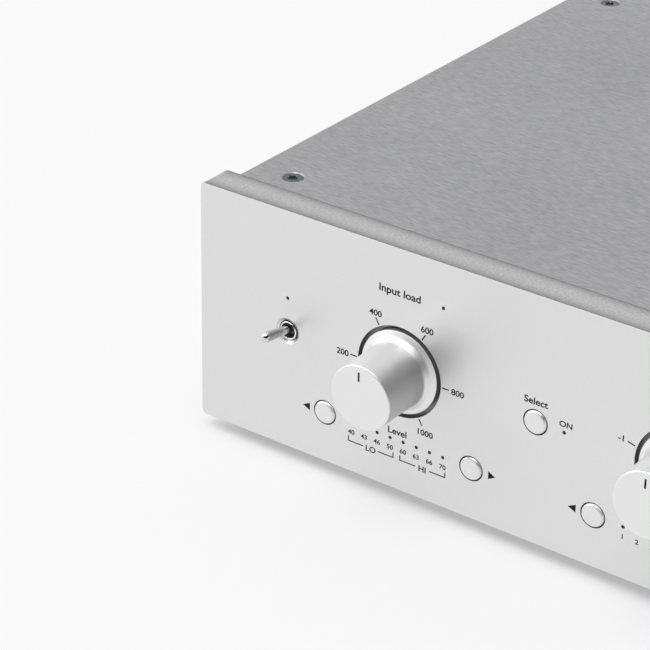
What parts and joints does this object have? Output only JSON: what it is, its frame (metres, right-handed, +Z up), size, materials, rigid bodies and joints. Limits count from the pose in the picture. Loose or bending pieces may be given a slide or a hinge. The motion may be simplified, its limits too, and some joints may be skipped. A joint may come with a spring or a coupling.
{
  "type": "phono preamp",
  "caption": "Half-width metal phono preamp: thick silver panel with two flared knobs, round buttons, lamp rows and a toggle, brushed cover, sockets behind.",
  "frame": {"origin": "centre of the object's bounding box in plan, at the plane its feet stand on", "axes": "+X to the right seen from the front, +Y from the front panel to the rear sockets, +Z up"},
  "size_m": [0.2054, 0.2206, 0.072],
  "materials": {
    "panel_aluminium": "fine bead-blasted, clear anodised",
    "cover_aluminium": "brushed along the width, clear anodised",
    "knob_aluminium": "satin turned, clear anodised",
    "rear_aluminium": "fine brushed, clear anodised",
    "tray_steel": "zinc-plated sheet",
    "dark_steel": "dark zinc-nickel plated",
    "bright_steel": "nickel plated",
    "chrome": "polished",
    "gold_plate": "thin polished gold plate",
    "brass": "turned",
    "socket_metal": "satin black plated die casting",
    "black_plastic": "moulded",
    "white_plastic": "moulded",
    "red_plastic": "moulded",
    "foot_plastic": "fine moulded grain",
    "rubber": "soft matte",
    "light_guide": "smoked clear, unlit",
    "led_resin": "pale resin",
    "circuit_board": "solder mask with tracks under it",
    "can_sleeve": "shrink sleeve",
    "film_case": "moulded box",
    "relay_case": "moulded box",
    "tinplate": "bright tinned sheet",
    "heatsink_black": "black anodised",
    "flat_cable": "ribbed grey insulation",
    "marking_ink": "printed scales, numbers and lines"
  },
  "bodies": {
    "case": {"front_panel": "panel_aluminium", "chassis_tray": "tray_steel", "rear_panel": "rear_aluminium", "top_cover": "cover_aluminium", "cover_screws": "dark_steel", "cover_posts": "bright_steel", "case_screws": "bright_steel", "feet": "foot_plastic", "foot_pads": "rubber", "foot_screws": "bright_steel", "potentiometers": "bright_steel", "potentiometer_nuts": "bright_steel", "toggle_case": "black_plastic", "toggle_bushing": "chrome", "key_switches": "black_plastic", "light_pipes": "light_guide", "front_leds": "led_resin", "front_board": "circuit_board", "front_board_spacers": "brass", "main_board": "circuit_board", "board_standoffs": "brass", "board_screws": "bright_steel", "electrolytic_capacitors": "can_sleeve", "film_capacitors": "film_case", "relays": "relay_case", "chips": "black_plastic", "regulators": "black_plastic", "heatsinks": "heatsink_black", "shield_can": "tinplate", "ribbon_cable": "flat_cable", "ribbon_headers": "black_plastic", "rear_board": "circuit_board", "pin_socket_shells": "gold_plate", "pin_socket_bushes_white": "white_plastic", "pin_socket_bushes_red": "red_plastic", "pin_socket_cores": "white_plastic", "pin_socket_contacts": "gold_plate", "rear_nuts": "bright_steel", "input_socket_shells": "socket_metal", "output_socket_shells": "socket_metal", "three_pole_cores": "black_plastic", "three_pole_contacts": "gold_plate", "earth_stud": "gold_plate", "power_socket": "black_plastic", "power_pin": "bright_steel"},
    "load_dial": {"knob_load": "knob_aluminium", "shaft_load": "bright_steel"},
    "balance_dial": {"knob_balance": "knob_aluminium", "shaft_balance": "bright_steel"},
    "toggle": {"toggle_lever": "chrome"},
    "key_gain_down": {"button_gain_down": "knob_aluminium"},
    "key_gain_up": {"button_gain_up": "knob_aluminium"},
    "key_mode": {"button_mode": "knob_aluminium"},
    "key_filter_down": {"button_filter_down": "knob_aluminium"},
    "key_filter_up": {"button_filter_up": "knob_aluminium"},
    "key_standby": {"button_standby": "knob_aluminium"},
    "latch_tab_left": {"latch_left": "bright_steel"},
    "latch_tab_right": {"latch_right": "bright_steel"},
    "earth_screw": {"earth_nut": "gold_plate"}
  },
  "joints": [
    {"name": "load_turn", "type": "hinge", "parent": "case", "child": "load_dial", "pos_m": [-0.0399, -0.09365, 0.038], "axis": [0, 1, 0], "range_deg": [-150, 150]},
    {"name": "balance_turn", "type": "hinge", "parent": "case", "child": "balance_dial", "pos_m": [0.0399, -0.09365, 0.038], "axis": [0, 1, 0], "range_deg": [-150, 150]},
    {"name": "toggle_throw", "type": "hinge", "parent": "case", "child": "toggle", "pos_m": [-0.0746, -0.09065, 0.038], "axis": [1, 0, 0], "range_deg": [0, 20]},
    {"name": "gain_down_press", "type": "slide", "parent": "case", "child": "key_gain_down", "axis": [0, 1, 0], "range_m": [0, 0.0008], "stiffness_N_per_m": 500, "springref_m": -0.0005},
    {"name": "gain_up_press", "type": "slide", "parent": "case", "child": "key_gain_up", "axis": [0, 1, 0], "range_m": [0, 0.0008], "stiffness_N_per_m": 500, "springref_m": -0.0005},
    {"name": "mode_press", "type": "slide", "parent": "case", "child": "key_mode", "axis": [0, 1, 0], "range_m": [0, 0.0008], "stiffness_N_per_m": 500, "springref_m": -0.0005},
    {"name": "filter_down_press", "type": "slide", "parent": "case", "child": "key_filter_down", "axis": [0, 1, 0], "range_m": [0, 0.0008], "stiffness_N_per_m": 500, "springref_m": -0.0005},
    {"name": "filter_up_press", "type": "slide", "parent": "case", "child": "key_filter_up", "axis": [0, 1, 0], "range_m": [0, 0.0008], "stiffness_N_per_m": 500, "springref_m": -0.0005},
    {"name": "standby_press", "type": "slide", "parent": "case", "child": "key_standby", "axis": [0, 1, 0], "range_m": [0, 0.0008], "stiffness_N_per_m": 500, "springref_m": -0.0005},
    {"name": "latch_left_push", "type": "hinge", "parent": "case", "child": "latch_tab_left", "pos_m": [-0.0717, 0.08285, 0.04755], "axis": [-1, 0, 0], "range_deg": [0, 3.3], "stiffness_Nm_per_rad": 0.3, "springref_deg": -1.72},
    {"name": "latch_right_push", "type": "hinge", "parent": "case", "child": "latch_tab_right", "pos_m": [-0.0437, 0.08285, 0.04755], "axis": [-1, 0, 0], "range_deg": [0, 3.3], "stiffness_Nm_per_rad": 0.3, "springref_deg": -1.72},
    {"name": "earth_screw_turn", "type": "hinge", "parent": "case", "child": "earth_screw", "pos_m": [0, 0.09635, 0.0485], "axis": [0, 1, 0], "range_deg": [0, 360]}
  ]
}
